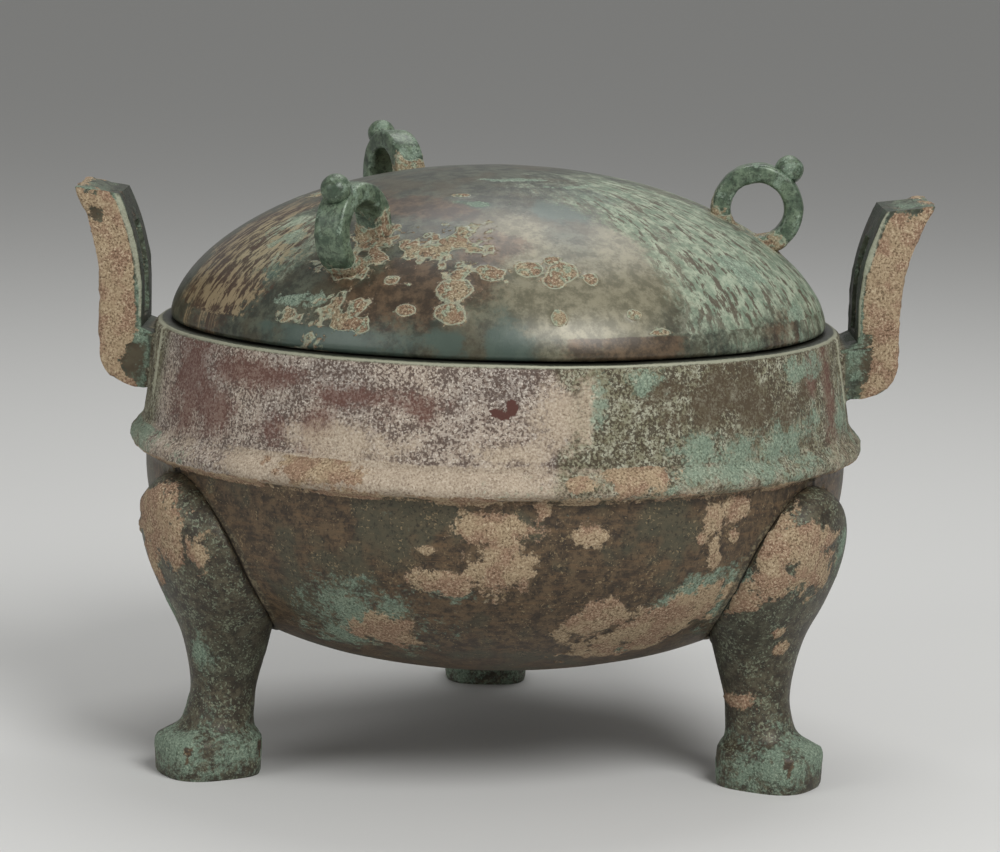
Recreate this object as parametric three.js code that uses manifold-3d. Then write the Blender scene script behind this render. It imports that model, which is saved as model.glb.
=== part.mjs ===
// A covered bronze ding: a round cauldron on three cabriole legs, with two upright ears and a domed lid.
// Millimetres, +Z up. The origin is on the ground under the bowl's axis, and the front is towards -Y.
import * as THREE from "three";
import { mergeVertices } from "three/addons/utils/BufferGeometryUtils.js";
import Module from "manifold-3d";

// Cauldron: belly, ridge and band, outside
const BELLY_RADIUS = 97.6;
const BELLY_TOP = 84;
const BELLY_DEPTH = 58;
const BELLY_FULLNESS = 2.4; // 2 would be a plain ellipse
const RIDGE_RADIUS = 102;
const RIDGE_HEIGHT = 88.3;
const BAND_FOOT_RADIUS = 98.1;
const BAND_FOOT_HEIGHT = 96;
const RIM_RADIUS = 94.2;
const RIM_HEIGHT = 119.9;
const WALL = 3.2;

// The seat for the lid: a flat ledge, and an upright lip that stands inside the lid
const LIP_RADIUS = 87;
const LIP_THICKNESS = 2.2;
const LIP_HEIGHT = 123.9;
const LEDGE_THICKNESS = 4.5;

// Lid
const LID_GAP = 0.35;
const LID_RADIUS = 91.1;
const LID_RISE = 42.8;
const LID_WALL = 2.8;
const LID_ROUNDNESS = 2.07;
const LID_SHOULDER = 1.69;

// Ring handles on the lid, each in a plane through the axis, with a bud at its upper outer side
// Azimuth, and distance and height of the ring's centre: cast by hand, so no two sit quite alike
const RINGS = [
  [-3, 71.2, 153.2],
  [118, 67.6, 155.6],
  [239, 74.4, 150.6],
];
const RING_OUTER = 12.7;
const RING_HOLE = 7.3;
const RING_THICKNESS = 8.8;
const BUD_LEAN = 53; // degrees above level
const BUD_RADIUS = 4.05;
const BUD_REACH = 17.8; // from the ring's centre to the bud's top

// Ears
// Azimuth, how much further out the ear stands, how much further it flares, and how much lower it springs
const EARS = [
  [0, 0.9, 0.5, 0],
  [180, 0, -1.1, 1.2],
];
const EAR_INNER = 98.3; // the upright part, from this distance off the axis
const EAR_OUTER = 109.5;
const EAR_WIDTH = 31;
const EAR_FOOT = 101.3;
const EAR_TOP = 155.4;
const EAR_FLARE_INNER = 6.6;
const EAR_FLARE_OUTER = 8.2;
const EAR_ROOT_TOP = 116.2;
const EAR_HOLE_WIDTH = 12.4;
const EAR_HOLE_FLOOR = 119.5;
const EAR_HOLE_ROOF = 146;
const ROOT_PAD_HALF_WIDTH = 22;
const ROOT_PAD_PROUD = 0.7;

// Legs: height, distance of the centre from the bowl's axis, half depth, half width and squareness
const LEG_SECTIONS = [
  [0, 87.7, 12.5, 11.3, 2.8],
  [1, 88, 13.4, 12.2, 2.8],
  [8.6, 88, 13.4, 12.2, 2.8],
  [11, 87.3, 12.4, 11.3, 2.6],
  [13.4, 86, 10.2, 9.7, 2.3],
  [18, 84.4, 9.1, 9, 2.1],
  [24, 83.6, 9, 9, 2],
  [32.4, 83, 10.6, 10.8, 2],
  [41, 83.3, 12.5, 14.8, 2],
  [50, 84.9, 14.9, 20.6, 2],
  [60, 88.4, 14.9, 23, 2.1],
  [69, 91.3, 13.8, 21.5, 2.1],
  [76.2, 92.9, 12.3, 16.3, 2.1],
  [81, 93.6, 9, 9.6, 2],
  [83, 93.8, 4, 4, 2],
];
// Azimuth of each leg, and how much further out it stands
const LEGS = [
  [91, -1.4],
  [210, 0],
  [330, 0.3],
];

// Smoothness
const ROUND_STEPS = 56;
const LEG_STEPS = 16;
const LEG_RINGS_PER_SECTION = 1.3;
const RING_STEPS = 12;
const BUD_STEPS = 10;

const wasm = await Module();
wasm.setup();

const radians = THREE.MathUtils.degToRad;
const spot = (x, y) => new THREE.Vector2(x, y);

// A closed geometry as a solid that manifold-3d can join and cut.
function solidOf(geometry) {
  const bare = geometry.index ? geometry.toNonIndexed() : geometry.clone();
  bare.deleteAttribute("normal");
  bare.deleteAttribute("uv");
  const merged = mergeVertices(bare, 1e-4);
  const vertProperties = merged.attributes.position.array;
  const triVerts = new Uint32Array(merged.index.array);
  return new wasm.Manifold(new wasm.Mesh({ numProp: 3, vertProperties, triVerts }));
}

// A solid back as a flat-shaded geometry.
function geometryOf(solid) {
  const mesh = solid.getMesh();
  const geometry = new THREE.BufferGeometry();
  geometry.setAttribute("position", new THREE.BufferAttribute(mesh.vertProperties, 3));
  geometry.setIndex(new THREE.BufferAttribute(mesh.triVerts, 1));
  const flat = geometry.toNonIndexed();
  flat.computeVertexNormals();
  return flat;
}

// A profile of (distance from the axis, height) turned round the upright axis.
function turned(profile, steps = ROUND_STEPS) {
  return new THREE.LatheGeometry(profile, steps).rotateX(Math.PI / 2);
}

// Points of a quarter of a superellipse, from its widest level towards the axis.
function quarter(radius, level, rise, roundness, shoulder, steps) {
  return Array.from({ length: steps + 1 }, (_, i) => {
    const angle = ((i / steps) * Math.PI) / 2;
    const out = Math.max(Math.cos(angle), 0) ** (2 / roundness);
    return spot(i === steps ? 0 : radius * out, level + rise * Math.sin(angle) ** (2 / shoulder));
  });
}

function bellyProfile(inset, steps) {
  const round = BELLY_FULLNESS;
  return quarter(BELLY_RADIUS - inset, BELLY_TOP, inset - BELLY_DEPTH, round, round, steps);
}

// The outer face from the floor up, over the ledge and the lip, as a solid with no hollow yet.
function bowlOutside() {
  const belly = bellyProfile(0, 11).reverse();
  const ridge = [
    spot(RIDGE_RADIUS - 1.6, RIDGE_HEIGHT - 2),
    spot(RIDGE_RADIUS, RIDGE_HEIGHT - 0.5),
    spot(RIDGE_RADIUS - 0.3, RIDGE_HEIGHT + 1),
    spot(RIDGE_RADIUS - 2.2, RIDGE_HEIGHT + 3.4),
  ];
  const band = [
    spot(BAND_FOOT_RADIUS, BAND_FOOT_HEIGHT),
    spot(RIM_RADIUS, RIM_HEIGHT - 0.8),
    spot(RIM_RADIUS - 0.8, RIM_HEIGHT),
  ];
  const lip = [spot(LIP_RADIUS, RIM_HEIGHT), spot(LIP_RADIUS - 0.4, LIP_HEIGHT), spot(0, LIP_HEIGHT)];
  return solidOf(turned([...belly, ...ridge, ...band, ...lip]));
}

// The space inside the wall, from the middle of the floor up to above the lip.
function bowlHollow() {
  const lipInner = LIP_RADIUS - LIP_THICKNESS;
  const underLedge = RIM_HEIGHT - LEDGE_THICKNESS;
  const wallFace = [
    spot(BAND_FOOT_RADIUS - WALL, BAND_FOOT_HEIGHT),
    spot(RIM_RADIUS - WALL, underLedge - 4),
    spot(lipInner, underLedge + 2),
    spot(lipInner, LIP_HEIGHT + 10),
    spot(0, LIP_HEIGHT + 10),
  ];
  return solidOf(turned([...bellyProfile(WALL, 8).reverse(), ...wallFace]));
}

// Catmull-Rom through the leg's sections, at a place from 0 to the number of the last section.
function legSection(place) {
  const last = LEG_SECTIONS.length - 1;
  const i = Math.min(Math.floor(place), last - 1);
  const t = place - i;
  const [p, q, r, s] = [i - 1, i, i + 1, i + 2].map((k) => LEG_SECTIONS[THREE.MathUtils.clamp(k, 0, last)]);
  return q.map((_, k) => {
    const slopeIn = (r[k] - p[k]) / 2;
    const slopeOut = (s[k] - q[k]) / 2;
    const bend = (slopeIn + slopeOut - 2 * (r[k] - q[k])) * t ** 3;
    return q[k] + slopeIn * t + (3 * (r[k] - q[k]) - 2 * slopeIn - slopeOut) * t ** 2 + bend;
  });
}

// One leg, standing out along +X: a unit column whose rings are moved out to the sections.
function leg() {
  const last = LEG_SECTIONS.length - 1;
  const count = Math.round(last * LEG_RINGS_PER_SECTION);
  const sides = Array.from({ length: count + 1 }, (_, i) => spot(1, (i * last) / count));
  const column = turned([spot(0, 0), ...sides, spot(0, last)], LEG_STEPS);
  const points = column.attributes.position;
  for (let i = 0; i < points.count; i += 1) {
    const [height, centre, halfDepth, halfWidth, squareness] = legSection(points.getZ(i));
    const squared = (v) => Math.sign(v) * Math.abs(v) ** (2 / squareness);
    const out = centre + halfDepth * squared(points.getX(i));
    points.setXYZ(i, out, halfWidth * squared(points.getY(i)), height);
  }
  return solidOf(column);
}

// An outline in X and Z with a thickness along Y, its edges broken all round.
function plate(outline, thickness, edge, curveSegments) {
  const depth = thickness - 2 * edge;
  const broken = { bevelThickness: edge, bevelSize: edge, bevelOffset: -edge, bevelSegments: 1 };
  const cut = new THREE.ExtrudeGeometry(outline, { depth, curveSegments, bevelEnabled: true, ...broken });
  return cut.translate(0, 0, -depth / 2).rotateX(Math.PI / 2);
}

// The ear seen from the front: upright below, curving outwards above, with a round lower outer corner.
function earShape(out, extraFlare, drop) {
  const shape = new THREE.Shape();
  const inner = EAR_INNER + out;
  const outer = EAR_OUTER + out;
  const foot = EAR_FOOT - drop;
  const bendStart = 128;
  const steps = 7;
  const bend = Array.from({ length: steps + 1 }, (_, i) => [
    (i / steps) ** 1.9,
    THREE.MathUtils.lerp(bendStart, EAR_TOP, i / steps),
  ]);
  shape.moveTo(inner - 8, EAR_ROOT_TOP - 1);
  shape.lineTo(inner - 8, foot);
  shape.lineTo(inner, foot + 1.4);
  shape.bezierCurveTo(inner + 7, foot + 3, outer, foot + 5, outer, foot + 10.5);
  for (const [flare, level] of bend) {
    shape.lineTo(outer + (EAR_FLARE_OUTER + extraFlare) * flare, level + 0.4 * flare);
  }
  for (const [flare, level] of bend.reverse()) {
    shape.lineTo(inner + EAR_FLARE_INNER * flare, level - 1.2 * flare);
  }
  shape.lineTo(inner, EAR_ROOT_TOP + 1.2);
  shape.lineTo(inner - 1.6, EAR_ROOT_TOP - 0.2);
  return shape;
}

// One ear, on the +X side, with its pierced rectangle and the raised pad where it springs from the band.
function ear(out, extraFlare, drop) {
  const upright = plate(earShape(out, extraFlare, drop), EAR_WIDTH, 0.7, 6);
  const holeHeight = EAR_HOLE_ROOF - EAR_HOLE_FLOOR;
  const hole = new THREE.BoxGeometry(40, EAR_HOLE_WIDTH, holeHeight);
  hole.translate(EAR_OUTER, 0, EAR_HOLE_FLOOR + holeHeight / 2);
  const bandAt = (height) => {
    const share = (height - BAND_FOOT_HEIGHT) / (RIM_HEIGHT - BAND_FOOT_HEIGHT);
    return THREE.MathUtils.lerp(BAND_FOOT_RADIUS, RIM_RADIUS, share) + ROOT_PAD_PROUD;
  };
  const top = EAR_ROOT_TOP + 1.6;
  const foot = EAR_FOOT - drop;
  const sleeve = turned([spot(0, foot), spot(bandAt(foot), foot), spot(bandAt(top), top), spot(0, top)]);
  const side = new THREE.BoxGeometry(60, 2 * ROOT_PAD_HALF_WIDTH, 60).translate(RIM_RADIUS, 0, EAR_FOOT);
  const pad = solidOf(sleeve).intersect(solidOf(side));
  return solidOf(upright).subtract(solidOf(hole)).add(pad);
}

// One casting: the bowl, its legs and its ears are joined first, and the hollow is then taken out of all.
function vesselSolid() {
  let joined = bowlOutside();
  for (const [azimuth, out] of LEGS) {
    joined = joined.add(leg().translate([out, 0, 0]).rotate([0, 0, azimuth]));
  }
  for (const [azimuth, out, flare, drop] of EARS) {
    joined = joined.add(ear(out, flare, drop).rotate([0, 0, azimuth]));
  }
  return joined.subtract(bowlHollow());
}

const LID_EDGE = RIM_HEIGHT + LID_GAP;

// One ring handle, standing on the +X side in the plane of X and Z, and running down into the dome's wall.
function ringHandle(centreRadius, centreHeight) {
  const outline = new THREE.Shape().absarc(0, 0, RING_OUTER, 0, 2 * Math.PI, false);
  outline.holes.push(new THREE.Path().absarc(0, 0, RING_HOLE, 0, 2 * Math.PI, true));
  const band = plate(outline, RING_THICKNESS, 0.9, RING_STEPS);
  const headFoot = BUD_REACH - 5.6;
  const budProfile = [
    spot(0, RING_OUTER - 2.5),
    spot(BUD_RADIUS - 1, RING_OUTER - 2.5),
    spot(BUD_RADIUS - 1, headFoot),
    spot(BUD_RADIUS, headFoot + 0.8),
    spot(BUD_RADIUS, BUD_REACH - 2.8),
    spot(BUD_RADIUS * 0.74, BUD_REACH - 0.8),
    spot(0, BUD_REACH),
  ];
  const bud = turned(budProfile, BUD_STEPS).rotateY(radians(90 - BUD_LEAN));
  const ring = solidOf(band).add(solidOf(bud));
  return ring.translate([centreRadius, 0, centreHeight]);
}

// One casting: the dome and its three ring handles, with the hollow taken out of all.
function lidSolid() {
  const face = quarter(LID_RADIUS, LID_EDGE + 0.6, LID_RISE - 0.6, LID_ROUNDNESS, LID_SHOULDER, 10);
  let joined = solidOf(turned([spot(0, LID_EDGE), spot(LID_RADIUS - 0.4, LID_EDGE), ...face]));
  for (const [azimuth, centreRadius, centreHeight] of RINGS) {
    joined = joined.add(ringHandle(centreRadius, centreHeight).rotate([0, 0, azimuth]));
  }
  const innerRadius = LID_RADIUS - LID_WALL;
  const innerFace = quarter(innerRadius, LID_EDGE, LID_RISE - LID_WALL, LID_ROUNDNESS, LID_SHOULDER, 8);
  const below = LID_EDGE - 10;
  return joined.subtract(solidOf(turned([spot(0, below), spot(innerRadius, below), ...innerFace])));
}

function bronze(color, roughness) {
  return new THREE.MeshStandardMaterial({ color, roughness, metalness: 0.35, flatShading: true });
}

function piece(name, solid, material) {
  const mesh = new THREE.Mesh(geometryOf(solid), material);
  mesh.name = name;
  return mesh;
}

const ding = new THREE.Group();
ding.add(piece("vessel", vesselSolid(), bronze(0x6f6a58, 0.68)));
ding.add(piece("lid", lidSolid(), bronze(0x44503f, 0.55)));

export default ding;
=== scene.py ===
"""A covered bronze ding, long buried: a round cauldron on three cabriole legs with a domed lid."""

import itertools
import math

import bpy
import numpy as np
from mathutils import Matrix, Vector


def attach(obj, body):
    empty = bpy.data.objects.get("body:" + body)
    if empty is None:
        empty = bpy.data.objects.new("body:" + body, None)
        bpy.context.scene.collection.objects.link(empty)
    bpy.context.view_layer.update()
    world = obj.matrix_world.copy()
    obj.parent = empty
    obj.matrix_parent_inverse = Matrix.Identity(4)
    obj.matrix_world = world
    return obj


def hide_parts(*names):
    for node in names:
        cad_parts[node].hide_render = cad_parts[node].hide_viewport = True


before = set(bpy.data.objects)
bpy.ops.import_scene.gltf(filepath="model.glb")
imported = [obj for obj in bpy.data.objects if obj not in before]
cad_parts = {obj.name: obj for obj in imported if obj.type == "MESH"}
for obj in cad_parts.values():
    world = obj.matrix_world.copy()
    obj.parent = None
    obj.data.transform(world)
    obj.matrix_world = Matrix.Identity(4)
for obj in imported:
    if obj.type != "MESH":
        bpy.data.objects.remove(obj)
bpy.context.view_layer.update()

# ---------------------------------------------------------------------------------------------
# The bowl. A round belly, a projecting ridge, a tapering band and a flat rim with an upright lip
# inside it: one bronze casting, turned true in the mould, with walls about three millimetres thick.
# ---------------------------------------------------------------------------------------------

MM = 0.001
belly_radius, belly_top, belly_depth, belly_fullness = 97.6, 84.0, 58.0, 2.4
wall = 3.2
rim_radius, rim_height = 94.2, 119.9
lip_radius, lip_height, lip_thickness = 87.0, 123.9, 2.2
ridge_line = [(97.6, 84.6), (98.2, 85.4), (100.6, 86.1), (101.9, 87.2), (102.0, 88.9), (100.9, 90.3), (99.2, 91.7)]
band_line = [(98.3, 94.0), (98.0, 96.6), (94.35, 118.9), (94.0, 119.7), (93.2, 119.9)]
lip_line = [(88.0, 119.9), (87.1, 120.1), (86.8, 123.2), (86.2, 123.9), (85.3, 123.9)]
skin_step = 1.16  # how far apart the points of the outer skin are


def quarter(radius, level, rise, roundness, shoulder, count=60):
    """Points of a quarter of a superellipse, from its widest level to the axis."""
    angle = np.linspace(0, math.pi / 2, count)
    out = np.clip(np.cos(angle), 0, 1) ** (2 / roundness)
    return np.column_stack([radius * out, level + rise * np.sin(angle) ** (2 / shoulder)])


def softened(line, rounds=2):
    """The line with its corners cut off, and its two ends kept."""
    line = np.array(line, float)
    for _ in range(rounds):
        near, far = 0.75 * line[:-1] + 0.25 * line[1:], 0.25 * line[:-1] + 0.75 * line[1:]
        middle = np.stack([near, far], 1).reshape(-1, line.shape[1])
        line = np.vstack([line[:1], middle, line[-1:]])
    return line


def evenly(line, step):
    """The same line with its points the same way apart."""
    line = np.array(line, float)
    run = np.concatenate([[0], np.cumsum(np.linalg.norm(np.diff(line, axis=0), axis=1))])
    places = np.linspace(0, run[-1], max(2, round(run[-1] / step)) + 1)
    return np.column_stack([np.interp(places, run, column) for column in line.T])


def shell(name, rings):
    """A closed mesh through closed rings of points; next to each other they have as many points, or half."""
    points, faces, starts = [], [], []
    for ring in rings:
        starts.append(len(points))
        points.extend(ring)
    for (a, one), (b, two) in zip(zip(starts, rings), zip(starts[1:], rings[1:])):
        m, n = len(one), len(two)
        if m == n:
            faces += [(a + i, a + (i + 1) % m, b + (i + 1) % m, b + i) for i in range(m)]
        elif m > n:
            for i in range(n):
                p, q, r = a + 2 * i, a + 2 * i + 1, a + (2 * i + 2) % m
                faces += [(p, q, b + i), (q, b + (i + 1) % n, b + i), (q, r, b + (i + 1) % n)]
        else:
            for i in range(m):
                p, q, r = b + 2 * i, b + 2 * i + 1, b + (2 * i + 2) % n
                faces += [(a + i, q, p), (a + i, a + (i + 1) % m, q), (a + (i + 1) % m, r, q)]
    faces.append(tuple(reversed(range(len(rings[0])))))
    faces.append(tuple(starts[-1] + i for i in range(len(rings[-1]))))
    mesh = bpy.data.meshes.new(name)
    mesh.from_pydata((np.array(points) * MM).tolist(), [], faces)
    mesh.validate()
    return mesh


def turned(name, profile, step):
    """A shell turned round the upright axis; its profile runs upwards on the outside."""
    rings = []
    for radius, height in profile:
        doublings = round(math.log2(max(2 * math.pi * radius / step, 15) / 15))
        angle = np.arange(15 * 2**doublings) * 2 * math.pi / (15 * 2**doublings)
        rings.append(np.column_stack([radius * np.cos(angle), radius * np.sin(angle), np.full(len(angle), height)]))
    return shell(name, rings)


def merged(name, base, others, operation="UNION"):
    """One mesh from base with the others joined to it or cut out of it."""
    piece = bpy.data.objects.new(name, base)
    bpy.context.collection.objects.link(piece)
    spare = []
    for other in others:
        tool = bpy.data.objects.new("tool", other)
        bpy.context.collection.objects.link(tool)
        spare.append(tool)
        change = piece.modifiers.new("cut", "BOOLEAN")
        change.operation, change.solver, change.object = operation, "MANIFOLD", tool
    depsgraph = bpy.context.evaluated_depsgraph_get()
    result = bpy.data.meshes.new_from_object(piece.evaluated_get(depsgraph))
    for thing in [piece, *spare]:
        bpy.data.objects.remove(thing)
    return result


belly_line = quarter(belly_radius, belly_top, -belly_depth, belly_fullness, belly_fullness)[::-1]
outer_line = np.vstack([belly_line, softened(ridge_line + band_line + lip_line)])
outer_line = evenly(outer_line[outer_line[:, 0] > 0.4], skin_step)
bowl = turned("bowl", outer_line, skin_step)

lip_inner = lip_radius - lip_thickness
hollow_line = quarter(belly_radius - wall, belly_top, wall - belly_depth, belly_fullness, belly_fullness)[::-1]
hollow_line = np.vstack([hollow_line, [(95, 96), (91.2, 111.4), (lip_inner, 117.4), (lip_inner, 134)]])
hollow = turned("hollow", evenly(hollow_line[hollow_line[:, 0] > 2], 3.4), 4)

# ---------------------------------------------------------------------------------------------
# The legs. Three cabriole legs cast with the bowl: a broad thigh against the belly, a slender shank
# and a spreading hoof with a flat sole.
# ---------------------------------------------------------------------------------------------

# Height, distance of the centre from the bowl's axis, half depth, half width, and squareness
leg_sections = np.array(
    [
        (0, 87.7, 12.7, 11.5, 2.9),
        (0.7, 88, 13.4, 12.2, 2.9),
        (8.8, 88, 13.5, 12.3, 3.0),
        (10.8, 87.5, 12.8, 11.7, 2.8),
        (12.2, 86.5, 11.0, 10.3, 2.4),
        (14.2, 85.4, 9.7, 9.4, 2.2),
        (18, 84.4, 9.1, 9.0, 2.1),
        (24, 83.6, 9.0, 9.0, 2.0),
        (32.4, 83, 10.6, 10.8, 2.0),
        (41, 83.3, 12.5, 14.8, 2.0),
        (50, 84.9, 14.9, 20.6, 2.1),
        (60, 88.4, 14.9, 23, 2.2),
        (69, 91.3, 13.8, 21.5, 2.2),
        (76.2, 92.9, 12.3, 16.3, 2.1),
        (81, 93.6, 9, 9.6, 2.0),
        (83, 93.8, 4, 4, 2.0),
    ]
)
legs = [(91, -1.4), (210, 0.0), (330, 0.3)]  # azimuth, and how much further out each one stands


def through(rows, at):
    """Catmull-Rom through rows, at places from 0 to the number of the last row."""
    last = len(rows) - 1
    i = np.minimum(np.floor(at).astype(int), last - 1)
    t = (at - i)[:, None]
    p, q, r, s = (rows[np.clip(i + k, 0, last)] for k in (-1, 0, 1, 2))
    into, out = (r - p) / 2, (s - q) / 2
    return q + into * t + (3 * (r - q) - 2 * into - out) * t**2 + (into + out - 2 * (r - q)) * t**3


def stood(points, azimuth, out=0.0):
    """Points modelled on the +X side, turned to their azimuth."""
    c, s = math.cos(math.radians(azimuth)), math.sin(math.radians(azimuth))
    x, y, z = (points + (out, 0, 0)).T
    return np.column_stack([c * x - s * y, s * x + c * y, z])


leg_places = through(leg_sections, np.linspace(0, len(leg_sections) - 1, 400))
leg_places = leg_places[np.argsort(leg_places[:, 0], kind="stable")]
leg_heights = np.concatenate([evenly(leg_places[:, :1], 1.15)[:, 0]])
leg_rows = np.column_stack([np.interp(leg_heights, leg_places[:, 0], column) for column in leg_places.T])


def leg_rings(azimuth, out):
    angle = np.linspace(0, 2 * math.pi, 72, endpoint=False)
    rings = []
    for height, centre, depth, width, squareness in leg_rows:
        c, s = np.cos(angle), np.sin(angle)
        x = centre + depth * np.sign(c) * np.abs(c) ** (2 / squareness)
        y = width * np.sign(s) * np.abs(s) ** (2 / squareness)
        rings.append(stood(np.column_stack([x, y, np.full(72, height)]), azimuth, out))
    return rings


leg_meshes = [shell("leg", leg_rings(azimuth, out)) for azimuth, out in legs]

# ---------------------------------------------------------------------------------------------
# The ears. Two upright lugs cast with the band, each pierced by a rectangle for a pole or hook:
# straight below, curling outwards above, with a round lower corner.
# ---------------------------------------------------------------------------------------------

ear_width, ear_top, ear_bend = 31.0, 155.4, 128.0
ear_hole_width, ear_hole_floor, ear_hole_roof = 12.4, 119.5, 146.0
# Azimuth, inner and outer face, flare of the inner and outer face, and height of the foot
ears = [(0, 99.2, 110.4, 6.6, 8.7, 101.3), (180, 98.3, 109.5, 6.4, 7.1, 100.1)]
root_top = 116.2


def block_ring(low, high, half, corner, heights, count=7):
    """A rounded rectangle from low to high along X and half to each side; heights at its inner and outer edge."""
    turn = np.linspace(0, math.pi / 2, 3)
    walls = []
    for sx, sy, start in ((1, 1, 0), (-1, 1, 1), (-1, -1, 2), (1, -1, 3)):
        cx = (high - corner) if sx > 0 else (low + corner)
        angle = turn + start * math.pi / 2
        walls.append(np.column_stack([cx + corner * np.cos(angle), sy * (half - corner) + corner * np.sin(angle)]))
    loop = []
    for k in range(4):
        here, there = walls[k], walls[(k + 1) % 4]
        loop.append(here)
        steps = 2 * count if k % 2 == 0 else 4 * count
        share = np.linspace(0, 1, steps // (1 if k % 2 else 2) + 1)[1:-1, None]
        loop.append(here[-1] * (1 - share) + there[0] * share)
    x, y = np.vstack(loop).T
    lean = (x - low) / max(high - low, 1e-6)
    return np.column_stack([x, y, heights[0] + (heights[1] - heights[0]) * lean])


def ear_rings(azimuth, inner, outer, inner_flare, outer_flare, foot):
    corner = quarter(outer - inner + 1.5, foot + 10.5, -9.6, 2.2, 2.0)[::-1] + (inner - 1.5, 0)
    straight = [(outer, ear_bend)]
    share = np.linspace(0, 1, 20)[1:]
    level = ear_bend + (ear_top - ear_bend) * share
    curl = np.column_stack([outer + outer_flare * share**1.9, level])
    line = evenly(np.vstack([corner[corner[:, 0] > inner - 1.2], straight, curl]), 1.15)
    rings = []
    for out, height in line:
        share = np.clip((height - ear_bend) / (ear_top - ear_bend), 0, 1) ** 1.9
        root = 8 * np.clip((root_top + 0.8 - height) / 1.6, 0, 1)
        rings.append(block_ring(inner - root + inner_flare * share, out, ear_width / 2, 1.0,
                                (height - 1.2 * share, height + 0.4 * share)))
    low, high = inner + inner_flare, outer + outer_flare
    for inset, rise in ((0.25, 0.0), (0.9, 0.1), (2.0, 0.15), (3.2, 0.15), (4.4, 0.15)):
        rings.append(block_ring(low + inset, high - inset, ear_width / 2 - inset, 0.8,
                                (ear_top - 1.2 + rise, ear_top + 0.4 + rise)))
    return [stood(ring, azimuth) for ring in rings]


def hole_rings(azimuth):
    half = (ear_hole_roof - ear_hole_floor) / 2
    rings = []
    for x in np.arange(90, 125, 1.3):
        ring = block_ring(-half, half, ear_hole_width / 2, 0.9, (0, 0), 5)
        z, y = ring[:, 0] + ear_hole_floor + half, ring[:, 1]
        rings.append(stood(np.column_stack([np.full(len(y), x), y, z])[::-1], azimuth))
    return rings


ear_meshes = [shell("ear", ear_rings(*ear)) for ear in ears]
ear_holes = [shell("hole", hole_rings(ear[0])) for ear in ears]
pierced = [merged("ear", ear, [hole], "DIFFERENCE") for ear, hole in zip(ear_meshes, ear_holes)]
vessel_mesh = merged("vessel", bowl, leg_meshes + pierced)
vessel_mesh = merged("vessel", vessel_mesh, [hollow], "DIFFERENCE")
print("vessel", len(vessel_mesh.vertices), sum(len(p.vertices) - 2 for p in vessel_mesh.polygons))

# ---------------------------------------------------------------------------------------------
# The vessel's skin. Two thousand years in the ground have left the casting uneven and pitted, with
# crusts standing on it: sandy on the ears and thighs, pale lilac round the band, turquoise in places.
# ---------------------------------------------------------------------------------------------


def lumps(points, size, seed):
    """Smooth bumps from -1 to 1, about size apart; size may be a size for each direction."""
    place = points / np.array(size, float) + seed * 7.31
    corner = np.floor(place).astype(np.int64)
    part = place - corner
    part = part * part * (3 - 2 * part)
    total = np.zeros(len(points))
    for step in itertools.product((0, 1), repeat=3):
        x, y, z = (corner + step).T
        mixed = (x * 73856093) ^ (y * 19349663) ^ (z * 83492791) ^ (seed * 2654435)
        mixed = ((mixed ^ (mixed >> 13)) * 1274126177) & 0x7FFFFFFF
        mixed = ((mixed ^ (mixed >> 15)) * 668265263) & 0x7FFFFFFF
        share = np.prod(np.where(np.array(step) == 1, part, 1 - part), axis=1)
        total += share * ((mixed >> 7) % 65536 / 32767.5 - 1)
    return total


def rough(points, size, seed, octaves=3):
    """Bumps on bumps, each layer half the size and a little more than half the height."""
    size = np.array(size, float)
    layers = [lumps(points, size / 2**k, seed + 11 * k) * 0.55**k for k in range(octaves)]
    return sum(layers) / 1.2


def ramp(value, low, high):
    share = np.clip((value - low) / (high - low), 0, 1)
    return share * share * (3 - 2 * share)


def spots(turn, level, radius, places):
    """How far inside the nearest of some patches a point is: 1 in the middle, 0 at the edge, less outside.

    A place is its azimuth, level, half width, half height, and how much its right end is lifted, in degrees.
    """
    best = np.full(len(turn), -1.0)
    for azimuth, height, half_width, half_height, lift in places:
        across = radius * np.radians((turn - azimuth + 180) % 360 - 180)
        up = level - height
        c, s = math.cos(math.radians(lift)), math.sin(math.radians(lift))
        away = np.hypot((c * across + s * up) / half_width, (c * up - s * across) / half_height)
        best = np.maximum(best, 1 - away)
    return best


def mesh_points(mesh):
    co = np.zeros(len(mesh.vertices) * 3, np.float32)
    mesh.vertices.foreach_get("co", co)
    normal = np.zeros(len(mesh.vertices) * 3, np.float32)
    mesh.vertex_normals.foreach_get("vector", normal)
    return co.reshape(-1, 3).astype(float) / MM, normal.reshape(-1, 3).astype(float)


def finished_piece(name, mesh, points, layers):
    """The piece with its points moved, its layers written on them, and its hard edges kept."""
    mesh.vertices.foreach_set("co", (points * MM).astype(np.float32).ravel())
    for layer, value in layers.items():
        if value.ndim == 1:
            mesh.attributes.new(layer, "FLOAT", "POINT").data.foreach_set("value", value.astype(np.float32))
        else:
            mesh.attributes.new(layer, "FLOAT_VECTOR", "POINT").data.foreach_set("vector", value.astype(np.float32).ravel())
    mesh.polygons.foreach_set("use_smooth", np.ones(len(mesh.polygons), bool))
    mesh.set_sharp_from_angle(angle=math.radians(52))
    mesh.update()
    mesh.name = name
    piece = bpy.data.objects.new(name, mesh)
    bpy.context.collection.objects.link(piece)
    return piece


points, normals = mesh_points(vessel_mesh)
x, y, z = points.T
radius = np.hypot(x, y)
turn = np.degrees(np.arctan2(y, x))
belly_at = np.interp(z, outer_line[:, 1], outer_line[:, 0])
inside = (normals[:, 0] * x + normals[:, 1] * y < -0.2 * radius) & (radius < belly_at - 2) & (z > 28)
inside |= (radius < 88) & (z > 117)

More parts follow.
